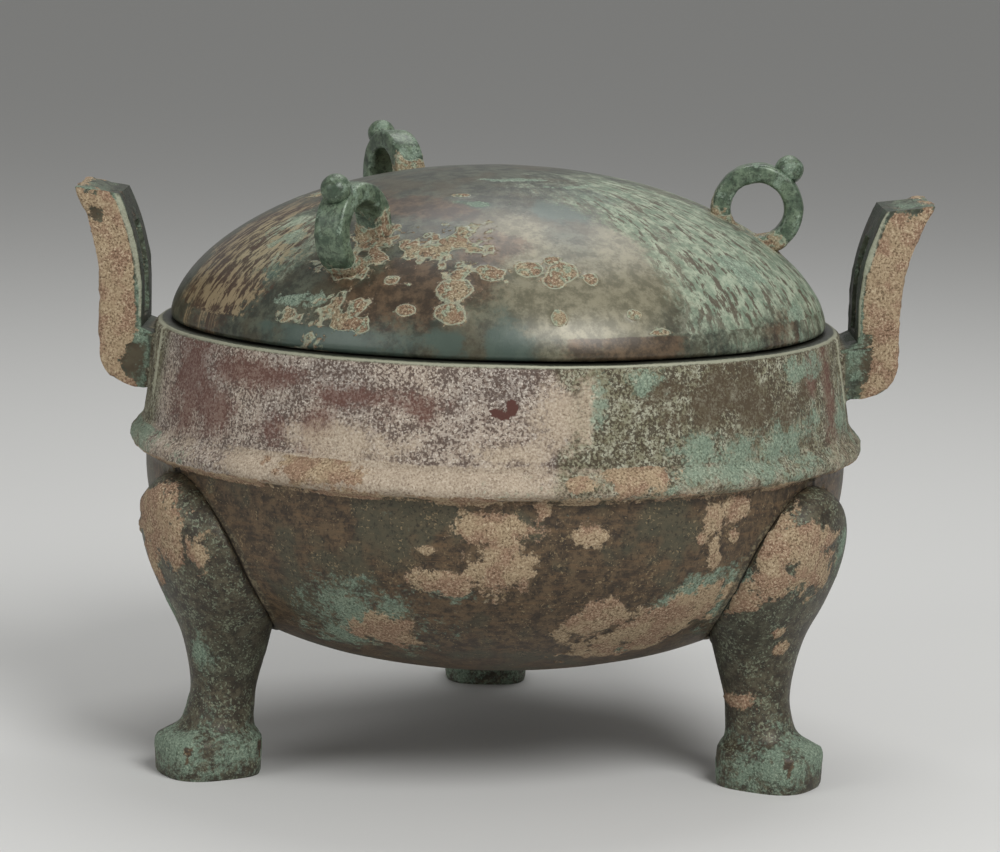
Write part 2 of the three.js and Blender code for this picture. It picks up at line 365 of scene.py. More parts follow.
# Which part of the casting a point is on, and how far it is from a leg's outline where it meets the belly
leg_near = np.full(len(points), 9.0)
for azimuth, out in legs:
    u, v, _ = stood(points, -azimuth).T
    depth_row = [np.interp(z, leg_rows[:, 0], leg_rows[:, k]) for k in (1, 2, 3)]
    leg_near = np.minimum(leg_near, np.hypot((u - out - depth_row[0]) / depth_row[1], v / depth_row[2]))
on_leg = (leg_near < 1.12) & (radius > np.where(z > 26, belly_at, 0) + 0.15) & (z < 84)
seam_gap = (leg_near - 1.0) * 14
on_ear = (radius > np.interp(z, (96, 118.9), (98.0, 94.35)) + 0.9) & (z > 99.5) & (np.abs(y) < 17)
on_band = (z > 93.5) & (z < 119.6) & ~on_ear & ~inside
on_ridge = (z > 85.4) & (z < 93.6) & ~on_leg & ~inside
on_belly = (z <= 85.4) & ~on_leg & ~inside

# Sandy crusts: azimuth, height, half width, half height and lift
belly_crusts = [
    (-91, 78, 11.5, 4.2, 0), (-89, 67, 8.5, 7.5, 0), (-97, 63, 9, 3.6, -8), (-100, 72, 2.4, 1.6, 0),
    (-75, 76.5, 5.0, 3.4, 5), (-110, 47.5, 9, 5.6, 0), (-71, 52, 11, 5.6, 14), (-59, 48.5, 18, 7.5, 20),
    (-51, 55.5, 5, 6, 30), (-54, 78.5, 3.4, 5.0, 0), (-49.5, 80.5, 4.2, 3.2, 20), (-53, 69.5, 2.6, 6.4, 12),
    (-56, 73.4, 2.2, 1.8, 0), (-49.6, 73.4, 2.0, 2.4, 0), (-47, 58, 3, 3, 0), (-82.5, 83.5, 2.4, 2.8, 0),
    (74, 61, 14, 8, 12), (131, 50, 10, 6, -10), (160, 71, 6, 5, 0), (15, 66, 9, 5, 8), (48, 77, 7, 4, 0),
    (-178, 56, 12, 5, -14), (112, 76, 9, 3.4, 0), (3, 47, 8, 5, 20),
]
leg_crusts = [
    (-150, 73, 13, 8, 0), (-147, 66, 8, 7, -30), (-140, 64, 4, 6, 0), (-152, 59, 5, 7, 0),
    (-39, 71, 12, 9, 0), (-34, 63, 11, 9, 0), (-41, 59, 6, 6, 0), (-44, 54, 4, 4, 0),
    (-37, 24, 3.4, 3, 0), (-34, 40, 2, 2.4, 0), (-36, 45, 2, 2, 0), (92, 68, 15, 9, 0), (86, 50, 9, 7, 0),
]
# Turquoise: on the belly, round crusts; on the legs, down the outer edge and over the hooves
belly_verdigris = [
    (-112, 51, 15, 8, -8), (-120, 43, 10, 4, 0), (-57, 57.5, 11, 3.4, 24), (-46, 55, 5, 9, 20), (-97, 60.5, 8, 2.2, -6),
    (-60, 42, 6, 2, 20), (136, 55, 13, 7, 0), (66, 54, 12, 6, 10), (20, 58, 9, 7, 0), (-172, 66, 9, 5, 0),
]
leg_verdigris = [
    (-26, 66, 5, 13, 0), (-29, 10, 12, 9, 0), (-36, 6, 13, 8, 0), (-148, 8, 18, 9, 0), (-147, 34, 4, 10, 0),
    (-153, 45, 3, 9, 0), (-45, 60, 4, 5, 0), (91, 8, 20, 10, 0), (97, 38, 6, 13, 0), (-153, 17, 5, 5, 0),
]
unlike = 0.5 * rough(points, 4.4, 3, 4) + 0.2 * lumps(points, 1.7, 5) - np.where(on_leg, 0.14, 0.05)
crust = np.where(on_leg, spots(turn, z, radius, leg_crusts), spots(turn, z, radius, belly_crusts)) + unlike
verdigris = np.where(on_leg, spots(turn, z, radius, leg_verdigris), spots(turn, z, radius, belly_verdigris))
verdigris += 0.6 * rough(points, 6.0, 21) + 0.25 * lumps(points, 2.2, 22) - np.where(on_leg, 0.38, 0.1)

# The ridge: turquoise to the right and round the back, cream to the left; crust caught under its edge
cream_side = ramp(turn, -138, -128) * ramp(-turn, 78, 86)
ridge_green = spots(turn, z, radius, [(-50, 92, 52, 7, 0), (10, 91, 44, 7, 0), (95, 91, 70, 6, 0), (-165, 91, 34, 9, 0)])
verdigris = np.where(on_ridge, ridge_green + 0.7 * rough(points, 5, 31) - 0.42, verdigris)
under_edge = (1 - np.abs(z - 85.6) / 1.5) * ramp(rough(points, (9, 9, 30), 33), -0.25, 0.2) - 0.05
crust = np.where((z < 87.2) & (z > 83.6) & ~on_leg & ~inside, np.maximum(crust, under_edge), crust)
ridge_tan = spots(turn, z, radius, [(-68, 92, 9, 5, 0), (-77, 90, 4, 2, 0), (-117, 91, 14, 4, 0), (130, 91, 20, 4, 0)])
crust = np.where(on_ridge & (z > 87), ridge_tan + 0.5 * rough(points, 4, 35), crust)

# The band: a pale lilac skin with red stains from the left ear to the middle, olive and grey-green beyond
band_edge = -81 + 4.5 * rough(points, 9, 41) - 3 * ramp(-z, -101, -96)
lilac = np.where(on_band | on_ridge, ramp(band_edge - turn, -0.8, 0.8) * ramp(turn, -163, -157), 0)
red_places = [(-148, 108, 10, 14, 0), (-141, 103, 9, 6, -20), (-119, 101, 5, 5, 0), (-126, 99, 6, 3, 0),
              (-132, 113, 14, 4, 0), (-21, 104, 5, 13, 0), (-101, 108, 3, 3, 0), (-110, 110, 16, 3, 0),
              (-28, 112, 4, 5, 0)]
red = np.where(on_band, spots(turn, z, radius, red_places) + 0.6 * rough(points, 5, 43) - 0.05, -1)
band_brown = [(-48, 108, 24, 12, 0), (-36, 104, 14, 9, 0), (-62, 112, 9, 4, 0), (60, 106, 40, 9, 0), (150, 108, 34, 8, 0)]
brown = np.where(on_band, spots(turn, z, radius, band_brown) + 0.8 * rough(points, 5, 45) - 0.32, -1)
band_verdigris = [(-66, 116, 6, 4, 0), (-40, 97, 26, 5, 6), (-57, 97, 12, 4, 0), (-14, 99, 10, 7, 0), (-30, 115, 12, 4, 0),
                  (-74, 110, 3, 7, 0), (165, 112, 14, 9, 0), (40, 98, 40, 6, 0), (100, 114, 26, 6, 0)]
verdigris = np.where(on_band, spots(turn, z, radius, band_verdigris) + 0.7 * rough(points, 4, 47) - 0.3, verdigris)
band_cream = [(-80.5, 106, 6, 9, 0), (-88, 97, 12, 3, 0), (-113, 98, 14, 4, 0), (-75, 112, 4, 4, 0), (-76, 103, 2, 4, 0)]
cream = np.where(on_band, spots(turn, z, radius, band_cream) + 0.5 * rough(points, 6, 49), -1)
cream = np.where(on_ridge, cream_side * 0.9 + 0.5 * rough(points, 6, 51) - 0.2, cream)
marks = np.where(on_band, spots(turn, z, radius, [(-87.5, 109, 1.5, 2.4, 0), (-89.5, 107.4, 2.6, 1.2, -20)]), -1)

# The ears: sandy crust on their flanks, green along the edges and inside faces, brown hollows
ear_x = np.abs(x)
left = x < 0
flank = on_ear & (np.abs(normals[:, 1]) > 0.6)
front = normals[:, 1] < -0.2
ear_in = np.interp(z, (101, 128, 136, 146, 155), (98.6, 98.6, 99.4, 102, 105.4)) + np.where(left, 0, 0.8)
into_ear = ear_x - ear_in
ear_crust = np.where(flank, 0.55 - 1.2 * ramp(1.6 - into_ear, 0, 1.6) - 0.6 * ramp(z, 151, 155), -0.35)
ear_crust += np.where(ear_x > ear_in + 9, 0.35, 0.0) + 0.45 * rough(points, 4.6, 61)
ear_green = np.where(flank, -0.55, -0.2) + 0.55 * ramp(1.8 - into_ear, 0, 1.8) * flank + 0.6 * rough(points, 6, 63)
left_hollow = np.hypot((ear_x - 99.8) / 4.0, (z - 108) / 6.5)
left_upper = np.hypot((ear_x - 112) / 3.5, (z - 148.4) / 4.0)
right_slate = np.hypot((ear_x - 101.5) / 2.6, (z - 113) / 8.0)
ear_brown = np.where(left, np.maximum(1 - left_hollow, 0.7 * (1 - left_upper)), 1 - right_slate)
ear_brown = np.where(on_ear, ear_brown + 0.35 * rough(points, 3.5, 65), -1)
ear_green = np.where(left, ear_green, ear_green + 0.6 * np.clip(1.4 - right_slate, 0, 1) * (right_slate > 1))
ear_green = np.where(left, ear_green + 0.9 * np.clip(1.5 - left_hollow, 0, 1) * (left_hollow > 0.9), ear_green)
crust = np.where(on_ear, ear_crust - 0.8 * ramp(ear_brown, -0.1, 0.2), crust)
verdigris = np.where(on_ear, ear_green, verdigris)
brown = np.where(on_ear, ear_brown, brown)

# Inside, a plain green and brown skin
crust = np.where(inside, -0.5 + 0.8 * rough(points, 14, 71), crust)
verdigris = np.where(inside, -0.1 + 0.9 * rough(points, 11, 73), verdigris)

# What is pale: the ears' edges, worn pale, and painted highlights along the rim's edge and the sides of the pads at
# their roots
pad_left, pad_right = -26.0, -17.6
pad_share = np.where(left, ramp(y, pad_left - 0.4, pad_left + 0.4), ramp(y, pad_right - 0.4, pad_right + 0.4))
pad_share *= ramp(-y, -23, -21) * ramp(ear_x, 60, 62)
pad_edge = np.where(left, np.abs(y - pad_left), np.abs(y - pad_right))
rim_edge = ramp(z, 118.7, 119.4) * ramp(radius, 93.2, 93.7) * (z < 120.1) * ~on_ear
ear_corner = on_ear * ramp(0.9 - into_ear, 0, 0.7) * ramp(np.abs(y), 14.4, 15.0) * (z > 120)
wear_and_highlight = np.maximum(rim_edge, ear_corner)
# Painted shade: nearly black on the rim's top under the lid's edge, and dark on the ears' inner faces
painted_shade = ramp(z, 119.5, 119.8) * ramp(93.1 - radius, 0, 0.5) * (radius > 85.5)
painted_shade = np.maximum(painted_shade, 0.75 * (on_ear & ~flank) * ramp(5 - into_ear, 0, 3.5))
wear_and_highlight = np.maximum(wear_and_highlight, (on_band & (z > 100)) * ramp(0.9 - pad_edge, 0, 0.7) * (ear_x > 70))

# The relief: the casting's unevenness, raised crusts, pits in the band, the seam round each thigh
skin = ~inside
relief = 0.16 * lumps(points, 24, 81) + 0.07 * lumps(points, 9, 82)
grain = 0.5 + 0.5 * lumps(points, 1.5, 83)
crusty = ramp(crust, -0.06, 0.16)
relief += crusty * (0.32 + 0.3 * grain + 0.15 * lumps(points, 4.5, 84))
relief += ramp(verdigris, -0.1, 0.25) * (0.1 + 0.16 * grain) * (1 - crusty)
relief -= np.where(on_band, 0.12 * ramp(lumps(points, 2.2, 85), 0.2, 0.8), 0)
relief -= np.where(brown > 0.05, 0.12 * ramp(brown, 0.05, 0.3), 0)
seam_gap = np.where(on_belly & (z > 34), np.clip(seam_gap, -2, 8), 8)
seam = np.exp(-(((seam_gap - 1.5) / 0.9) ** 2)) * (0.8 + 0.35 * lumps(points, 2.2, 86))
relief += 0.8 * seam - 0.3 * np.exp(-(((seam_gap - 0.2) / 0.5) ** 2))
relief += 0.7 * pad_share * ((z > 101.2) & (z < 119.0) & on_band)
relief += np.where(on_ridge, 0.22 * rough(points, (3.5, 3.5, 3), 87), 0)
relief = np.where(skin, relief, 0.12 * lumps(points, 16, 88))
relief *= ramp(z, 0.05, 1.5)
points = points + normals * relief[:, None]
points[:, 2] = np.maximum(points[:, 2], 0)

vessel = finished_piece("vessel_bronze_casting", vessel_mesh, points, {
    "crust": crust, "verdigris": verdigris, "lilac": lilac, "red": red, "brown": brown, "cream": cream,
    "marks": marks, "wear_and_highlight": wear_and_highlight, "seam_gap": seam_gap, "painted_shade": painted_shade,
    "band": on_band.astype(float), "belly": on_belly.astype(float), "leg": on_leg.astype(float),
    "inside": inside.astype(float), "ridge": on_ridge.astype(float),
})
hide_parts("vessel")
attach(vessel, "root")


def paint(red_, green_, blue_):
    """A colour as a painter mixes it, out of 255, for a shader."""
    share = [c / 255 for c in (red_, green_, blue_)]
    return tuple(c / 12.92 if c <= 0.04045 else ((c + 0.055) / 1.055) ** 2.4 for c in share) + (1.0,)


def add(tree, kind, options=None, **values):
    """A new node; each value is a number, a colour or another node's output."""
    node = tree.nodes.new("ShaderNode" + kind)
    for key, value in (options or {}).items():
        setattr(node, key, value)
    for key, value in values.items():
        socket = node.inputs[int(key[1:])] if key[0] == "_" else node.inputs[key.replace("_", " ")]
        if isinstance(value, bpy.types.NodeSocket):
            tree.links.new(value, socket)
        else:
            socket.default_value = value
    return node


def calc(tree, operation, a, b=0.0, c=0.0):
    return add(tree, "Math", {"operation": operation}, _0=a, _1=b, _2=c).outputs[0]


def over(tree, mask, below, above):
    """One colour over another where the mask is 1."""
    return add(tree, "Mix", {"data_type": "RGBA"}, _0=mask, _6=below, _7=above).outputs[2]


def noise(tree, place, size, detail=3.0, roughness=0.55):
    """Noise from 0 to 1 with bumps about size millimetres apart."""
    return add(tree, "TexNoise", Vector=place, Scale=1 / (size * MM), Detail=detail, Roughness=roughness).outputs["Fac"]


def between(tree, value, low, high):
    """0 below low, 1 above high, and smooth between."""
    return add(tree, "MapRange", {"interpolation_type": "SMOOTHSTEP"}, Value=value, From_Min=low, From_Max=high).outputs[0]


def layer_of(tree, name):
    return add(tree, "Attribute", {"attribute_name": name}).outputs["Fac"]


def effect(name, inputs, outputs):
    """An empty group of nodes with named inputs and outputs."""
    tree = bpy.data.node_groups.new(name, "ShaderNodeTree")
    for label, kind in inputs.items():
        tree.interface.new_socket(label, in_out="INPUT", socket_type="NodeSocket" + kind)
    for label, kind in outputs.items():
        tree.interface.new_socket(label, in_out="OUTPUT", socket_type="NodeSocket" + kind)
    return tree, tree.nodes.new("NodeGroupInput").outputs, tree.nodes.new("NodeGroupOutput").inputs


def placed(tree, group, **values):
    node = tree.nodes.new("ShaderNodeGroup")
    node.node_tree = group
    for key, value in values.items():
        socket = node.inputs[key.replace("_", " ")]
        if isinstance(value, bpy.types.NodeSocket):
            tree.links.new(value, socket)
        else:
            socket.default_value = value
    return node.outputs


# A layer's ragged edge: its field is broken up by fine noise, then cut
ragged_edge, given, made = effect("ragged edge", {"Field": "Float", "Place": "Vector", "Spread": "Float", "Softness": "Float"},
                                  {"Mask": "Float"})
fine = noise(ragged_edge, given["Place"], 1.3, 4, 0.68)
field = calc(ragged_edge, "MULTIPLY_ADD", calc(ragged_edge, "SUBTRACT", fine, 0.5), given["Spread"], given["Field"])
edge = add(ragged_edge, "MapRange", {"interpolation_type": "SMOOTHSTEP"}, Value=field,
           From_Min=calc(ragged_edge, "MULTIPLY", given["Softness"], -1), From_Max=given["Softness"])
ragged_edge.links.new(edge.outputs[0], made["Mask"])

# A granular crust: pale grains over a body colour, with dark pits between them
granular, given, made = effect("granular crust", {"Place": "Vector", "Body": "Color", "Grain": "Color", "Pit": "Color"},
                               {"Color": "Color", "Height": "Float"})
grains = noise(granular, given["Place"], 0.6, 4, 0.75)
tone = noise(granular, given["Place"], 4.5, 3, 0.6)
colour = over(granular, between(granular, grains, 0.5, 0.68), given["Body"], given["Grain"])
colour = over(granular, between(granular, calc(granular, "SUBTRACT", 1, grains), 0.5, 0.64), colour, given["Pit"])
colour = over(granular, calc(granular, "MULTIPLY", between(granular, tone, 0.45, 0.7), 0.45), colour, given["Body"])
granular.links.new(colour, made["Color"])
granular.links.new(grains, made["Height"])

# Specks: small spots, as many as asked, sharper than noise alone
specks, given, made = effect("specks", {"Place": "Vector", "Share": "Float"}, {"Mask": "Float"})
dots = noise(specks, given["Place"], 0.7, 3, 0.6)
clump = noise(specks, given["Place"], 5.5, 2, 0.5)
level = calc(specks, "ADD", dots, calc(specks, "MULTIPLY", calc(specks, "SUBTRACT", clump, 0.5), 0.35))
limit = calc(specks, "SUBTRACT", 0.72, calc(specks, "MULTIPLY", given["Share"], 0.3))
mask = add(specks, "MapRange", {"interpolation_type": "SMOOTHSTEP"}, Value=level, From_Min=limit,
           From_Max=calc(specks, "ADD", limit, 0.045))
specks.links.new(mask.outputs[0], made["Mask"])

vessel_skin = bpy.data.materials.new("buried bronze, crusted")
vessel_skin.use_nodes = True
tree = vessel_skin.node_tree
tree.nodes.clear()
place = add(tree, "TexCoord").outputs["Object"]
streaked = add(tree, "Mapping", {"vector_type": "POINT"}, Vector=place, Scale=(1, 1, 9)).outputs[0]

# Bare bronze of the belly and legs: dark brown with warm streaks, slate and olive in places
broad = noise(tree, place, 22, 3, 0.55)
streaks = noise(tree, streaked, 9, 5, 0.65)
mottle = noise(tree, place, 3.2, 5, 0.7)
fine = noise(tree, place, 1.1, 4, 0.75)
metal = over(tree, between(tree, mottle, 0.4, 0.6), paint(60, 49, 37), paint(96, 79, 58))
metal = over(tree, calc(tree, "MULTIPLY", between(tree, streaks, 0.5, 0.62), 0.45), metal, paint(112, 88, 62))
metal = over(tree, calc(tree, "MULTIPLY", between(tree, broad, 0.5, 0.6), 0.7), metal, paint(74, 74, 58))
metal = over(tree, calc(tree, "MULTIPLY", between(tree, fine, 0.52, 0.62), 0.7), metal, paint(38, 33, 27))
metal = over(tree, calc(tree, "MULTIPLY", placed(tree, specks, Place=place, Share=0.3)["Mask"], 0.75), metal, paint(140, 122, 92))
leg_metal = over(tree, between(tree, mottle, 0.42, 0.6), paint(52, 48, 38), paint(84, 84, 68))
leg_metal = over(tree, calc(tree, "MULTIPLY", between(tree, fine, 0.5, 0.6), 0.7), leg_metal, paint(42, 38, 30))
leg_speck = placed(tree, specks, Place=place, Share=0.5)["Mask"]
leg_metal = over(tree, calc(tree, "MULTIPLY", leg_speck, 0.7), leg_metal, paint(134, 146, 124))
metal = over(tree, calc(tree, "MULTIPLY", layer_of(tree, "leg"), 0.75), metal, leg_metal)

# The band's two skins
dark_speck = placed(tree, specks, Place=place, Share=0.75)["Mask"]
pale_speck = noise(tree, place, 0.5, 2, 0.5)
lilac_skin = over(tree, between(tree, broad, 0.4, 0.62), paint(172, 159, 144), paint(152, 143, 134))
lilac_skin = over(tree, between(tree, pale_speck, 0.54, 0.66), lilac_skin, paint(206, 197, 184))
lilac_skin = over(tree, calc(tree, "MULTIPLY", between(tree, fine, 0.5, 0.6), 0.75), lilac_skin, paint(112, 94, 82))
lilac_skin = over(tree, calc(tree, "MULTIPLY", dark_speck, 0.85), lilac_skin, paint(78, 62, 54))
green_skin = over(tree, between(tree, mottle, 0.4, 0.62), paint(128, 126, 102), paint(166, 166, 146))
green_skin = over(tree, calc(tree, "MULTIPLY", between(tree, fine, 0.47, 0.57), 0.8), green_skin, paint(86, 76, 56))
green_skin = over(tree, calc(tree, "MULTIPLY", dark_speck, 0.85), green_skin, paint(60, 50, 36))
band_skin = over(tree, layer_of(tree, "lilac"), green_skin, lilac_skin)
on_band_or_ridge = calc(tree, "ADD", layer_of(tree, "band"), layer_of(tree, "ridge"))
colour = over(tree, on_band_or_ridge, metal, band_skin)
ear_skin = over(tree, between(tree, mottle, 0.4, 0.6), paint(50, 55, 43), paint(86, 92, 74))
elsewhere = calc(tree, "SUBTRACT", 1, calc(tree, "ADD", on_band_or_ridge, calc(tree, "ADD", layer_of(tree, "belly"), layer_of(tree, "leg"))))
colour = over(tree, between(tree, elsewhere, 0.3, 0.7), colour, ear_skin)

# The layers over them, one on another
red_mask = placed(tree, ragged_edge, Field=layer_of(tree, "red"), Place=place, Spread=2.6, Softness=0.6)["Mask"]
colour = over(tree, calc(tree, "MULTIPLY", red_mask, 0.72), colour, paint(98, 62, 52))
brown_mask = placed(tree, ragged_edge, Field=layer_of(tree, "brown"), Place=place, Spread=2.8, Softness=0.35)["Mask"]
colour = over(tree, calc(tree, "MULTIPLY", brown_mask, 0.72), colour, paint(76, 62, 44))
cream_mask = placed(tree, ragged_edge, Field=layer_of(tree, "cream"), Place=place, Spread=2.6, Softness=0.5)["Mask"]
cream_crust = placed(tree, granular, Place=place, Body=paint(182, 166, 144), Grain=paint(212, 198, 178), Pit=paint(120, 102, 84))
colour = over(tree, calc(tree, "MULTIPLY", cream_mask, 0.75), colour, cream_crust["Color"])
marks_mask = placed(tree, ragged_edge, Field=layer_of(tree, "marks"), Place=place, Spread=1.4, Softness=0.1)["Mask"]
colour = over(tree, marks_mask, colour, paint(82, 50, 42))
green_mask = placed(tree, ragged_edge, Field=layer_of(tree, "verdigris"), Place=place, Spread=3.0, Softness=0.4)["Mask"]
green_crust = placed(tree, granular, Place=place, Body=paint(120, 140, 122), Grain=paint(176, 190, 168), Pit=paint(70, 82, 64))
colour = over(tree, calc(tree, "MULTIPLY", green_mask, 0.78), colour, green_crust["Color"])
sand_mask = placed(tree, ragged_edge, Field=layer_of(tree, "crust"), Place=place, Spread=1.5, Softness=0.12)["Mask"]
sand_tone = over(tree, between(tree, noise(tree, place, 7, 3, 0.6), 0.42, 0.6), paint(158, 138, 110), paint(142, 114, 92))
sand_crust = placed(tree, granular, Place=place, Body=sand_tone, Grain=paint(196, 178, 150), Pit=paint(84, 66, 47))
colour = over(tree, sand_mask, colour, sand_crust["Color"])
# Pale edges: wear on the ears' edges, painted highlights on the rim's edge and the sides of the pads
wear_and_highlight_mask = placed(tree, ragged_edge, Field=calc(tree, "SUBTRACT", layer_of(tree, "wear_and_highlight"), 0.5), Place=place, Spread=1.0, Softness=0.2)["Mask"]
colour = over(tree, calc(tree, "MULTIPLY", wear_and_highlight_mask, 0.7), colour, paint(172, 172, 150))
# Painted shade: nearly black along the crease where each thigh meets the belly, inside the seam's cord
seam_crease_shade = calc(tree, "SUBTRACT", 1, between(tree, calc(tree, "ABSOLUTE", calc(tree, "SUBTRACT", layer_of(tree, "seam_gap"), 0.2)), 0.45, 0.9))
colour = over(tree, calc(tree, "MULTIPLY", seam_crease_shade, 0.9), colour, paint(30, 26, 21))
cord = calc(tree, "SUBTRACT", 1, between(tree, calc(tree, "ABSOLUTE", calc(tree, "SUBTRACT", layer_of(tree, "seam_gap"), 1.6)), 0.5, 1.1))
cord_paint = over(tree, between(tree, fine, 0.48, 0.58), paint(56, 48, 37), paint(118, 108, 84))
colour = over(tree, calc(tree, "MULTIPLY", cord, 0.85), colour, cord_paint)
# Painted shade, nearly black, on the rim under the lid's edge and on the ears' inner faces
colour = over(tree, calc(tree, "MULTIPLY", layer_of(tree, "painted_shade"), 0.92), colour, paint(31, 30, 23))

covered = calc(tree, "MAXIMUM", sand_mask, calc(tree, "MAXIMUM", green_mask, on_band_or_ridge))
height = calc(tree, "ADD", calc(tree, "MULTIPLY", sand_crust["Height"], covered), calc(tree, "MULTIPLY", mottle, 0.35))
bump = add(tree, "Bump", Strength=0.75, Distance=0.45 * MM, Height=height).outputs[0]
roughness = add(tree, "MapRange", Value=covered, To_Min=0.5, To_Max=0.9).outputs[0]
bare = calc(tree, "MULTIPLY", calc(tree, "SUBTRACT", 1, covered), 0.25)
surface = add(tree, "BsdfPrincipled", Base_Color=colour, Roughness=roughness, Metallic=bare, Normal=bump)
add(tree, "OutputMaterial", Surface=surface.outputs[0])
vessel_mesh.materials.clear()
vessel_mesh.materials.append(vessel_skin)

# ---------------------------------------------------------------------------------------------
# The lid. A deep dome and three ring handles, each with a bud on its outer shoulder, in one bronze
# casting. It sits round the lip on the flat rim.
# ---------------------------------------------------------------------------------------------

lid_radius, lid_edge, lid_rise, lid_wall = 91.1, rim_height + 0.35, 42.8, 2.8
lid_roundness, lid_shoulder = 2.07, 1.69
# Azimuth, and distance and height of the ring's centre
rings = [(-3, 71.2, 153.2), (118, 67.6, 155.6), (239, 74.4, 150.6)]
ring_outer, ring_hole, ring_thickness = 12.7, 7.3, 8.8
bud_lean, bud_radius, bud_reach = 53, 4.05, 17.8

dome_line = quarter(lid_radius, lid_edge + 0.9, lid_rise - 0.9, lid_roundness, lid_shoulder, 200)
dome_line = evenly(np.vstack([softened([(lid_radius - 1.3, lid_edge), (lid_radius - 0.5, lid_edge + 0.15), (lid_radius, lid_edge + 0.9)]), dome_line[1:]]), 1.1)
dome_line = dome_line[dome_line[:, 0] > 0.5]
dome = turned("dome", dome_line, 1.12)
under = quarter(lid_radius - lid_wall, lid_edge, lid_rise - lid_wall, lid_roundness, lid_shoulder, 60)
under = np.vstack([[(lid_radius - lid_wall, lid_edge - 8)], under[under[:, 0] > 2]])
lid_hollow = turned("hollow", evenly(under, 3.2), 4)


def ring_rings(azimuth, out, height):
    """The ring's band, as rounded rectangles round the ring."""
    corner, half, middle, deep = 1.5, ring_thickness / 2, (ring_outer + ring_hole) / 2, (ring_outer - ring_hole) / 2
    angle = np.linspace(0, 2 * math.pi, 36, endpoint=False)
    c, s = np.cos(angle), np.sin(angle)
    along = middle + deep * np.sign(c) * np.abs(c) ** 0.42
    across = half * np.sign(s) * np.abs(s) ** 0.42
    loops = []
    for around in np.linspace(0, 2 * math.pi, 108, endpoint=False):
        loop = np.column_stack([along * math.cos(around), across, along * math.sin(around)])
        loops.append(stood(loop + (out, 0, height), azimuth))
    return loops


def closed_loop(name, loops):
    """A ring-shaped mesh through loops of points."""
    many, size = len(loops), len(loops[0])
    faces = []
    for j in range(many):
        a, b = j * size, ((j + 1) % many) * size
        faces += [(a + i, a + (i + 1) % size, b + (i + 1) % size, b + i) for i in range(size)]
    mesh = bpy.data.meshes.new(name)
    mesh.from_pydata((np.vstack(loops) * MM).tolist(), [], faces)
    return mesh


def bud_rings(azimuth, out, height):
    """The bud, turned about its own leaning axis."""
    foot = bud_reach - 5.6
    line = [(bud_radius - 1, ring_outer - 2.5), (bud_radius - 1.1, foot - 0.4), (bud_radius - 0.2, foot + 0.1), (bud_radius, foot + 1.2),
            (bud_radius - 0.1, bud_reach - 2.6), (bud_radius - 1.1, bud_reach - 0.9), (1.6, bud_reach - 0.15), (0.5, bud_reach)]
    loops = []
    for radius_, reach in evenly(softened(line), 0.55):
        angle = np.linspace(0, 2 * math.pi, 40, endpoint=False)
        a, b = radius_ * np.cos(angle), radius_ * np.sin(angle)
        c, s = math.cos(math.radians(bud_lean)), math.sin(math.radians(bud_lean))
        loop = np.column_stack([reach * c + a * s, b, reach * s - a * c])
        loops.append(stood(loop + (out, 0, height), azimuth))
    return loops


handles = [closed_loop("ring", ring_rings(*ring)) for ring in rings] + [shell("bud", bud_rings(*ring)) for ring in rings]
lid_mesh = merged("lid", merged("lid", dome, handles), [lid_hollow], "DIFFERENCE")
print("lid", len(lid_mesh.vertices), sum(len(p.vertices) - 2 for p in lid_mesh.polygons))

# ---------------------------------------------------------------------------------------------
# The lid's skin. A smooth dark green and brown patina with a soft sheen, streaked turquoise down the
# slope to the right, crusted sandy and green to the left, with small blisters ringed in pale green.
# ---------------------------------------------------------------------------------------------

points, normals = mesh_points(lid_mesh)
x, y, z = points.T
radius = np.hypot(x, y)
turn = np.degrees(np.arctan2(y, x))
run = np.concatenate([[0], np.cumsum(np.linalg.norm(np.diff(dome_line[::-1], axis=0), axis=1))])
slope_down = np.interp(radius, dome_line[::-1, 0], run)  # distance from the top, over the dome
dome_at = np.interp(radius, dome_line[::-1, 0], dome_line[::-1, 1])
dome_at = np.where(radius > lid_radius - 0.2, z, dome_at)
inside = (z < dome_at - 1.2) & (radius < lid_radius - 1.5)
by_handle = np.zeros(len(points), bool)
for azimuth, out, height in rings:
    u, v, w = stood(points, -azimuth).T
    by_handle |= (np.hypot(u - out, w - height) < bud_reach + 1) & (np.abs(v) < ring_thickness / 2 + 0.6)
on_ring = (z > dome_at + 0.5) & by_handle & ~inside
on_dome = ~on_ring & ~inside

streaked_places = [(-28, 62, 26, 34, 0), (-12, 88, 22, 26, 0), (-44, 86, 16, 22, 0), (20, 70, 26, 30, 0), (-52, 58, 8, 14, 0), (-146, 74, 15, 13, 0), (150, 80, 22, 20, 0)]
left_streaks = [(-152, 88, 20, 20, 0), (-163, 70, 12, 16, 0), (170, 92, 20, 14, 0)]
down_scale = np.column_stack([x / np.maximum(radius, 1) * 60, y / np.maximum(radius, 1) * 60, slope_down])
streaked = spots(turn, -slope_down, radius, [(a, -s, w, h, t) for a, s, w, h, t in streaked_places])
streaked += 0.35 * rough(points, 9, 101) + 0.3 * rough(down_scale, (2.4, 2.4, 14), 102)
tan_streaks = spots(turn, -slope_down, radius, [(a, -s, w, h, t) for a, s, w, h, t in left_streaks])
tan_streaks += 0.35 * rough(points, 8, 103) + 0.3 * rough(down_scale, (2.2, 2.2, 12), 104)
tan_places = [(-103, 70, 19, 9, 12), (-98, 63, 9, 5, 10), (-110, 84, 5, 3, 0), (-121, 98, 13, 9, 0), (-94, 79, 7, 6, 0), (-114, 76, 7, 5, 0),
              (100, 74, 20, 10, 0), (60, 88, 12, 8, 0), (-170, 52, 8, 5, 0), (-104, 40, 3, 2, 0)]
tan = spots(turn, -slope_down, radius, [(a, -s, w, h, t) for a, s, w, h, t in tan_places]) + 0.9 * rough(points, 4.2, 105) - 0.3
